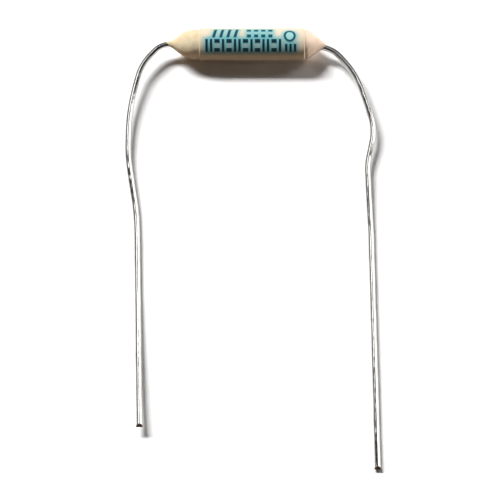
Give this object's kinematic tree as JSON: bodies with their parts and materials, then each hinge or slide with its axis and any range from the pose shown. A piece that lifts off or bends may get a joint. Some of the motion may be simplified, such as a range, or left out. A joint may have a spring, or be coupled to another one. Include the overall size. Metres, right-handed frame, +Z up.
{
  "type": "thermal fuse",
  "caption": "Axial thermal fuse: a cream ceramic tube holding a fusible alloy rod in flux, closed by tan resin seals, with bent tinned wire leads.",
  "frame": {"origin": "on the table, under the middle of the ceramic tube's axis", "axes": "+X along the tube to the picture's right, -Y towards the lead tips and the picture's near side, +Z up"},
  "size_m": [0.0217, 0.039, 0.0028],
  "materials": {
    "ceramic": "satin",
    "tinned_wire": "polished",
    "seal_resin": "satin",
    "alloy": "satin",
    "flux": "gloss"
  },
  "bodies": {
    "root": {"ceramic_tube": "ceramic", "left_lead": "tinned_wire", "right_lead": "tinned_wire", "left_end_seal": "seal_resin", "right_end_seal": "seal_resin", "fusible_alloy": "alloy", "flux_fill": "flux"}
  },
  "joints": []
}
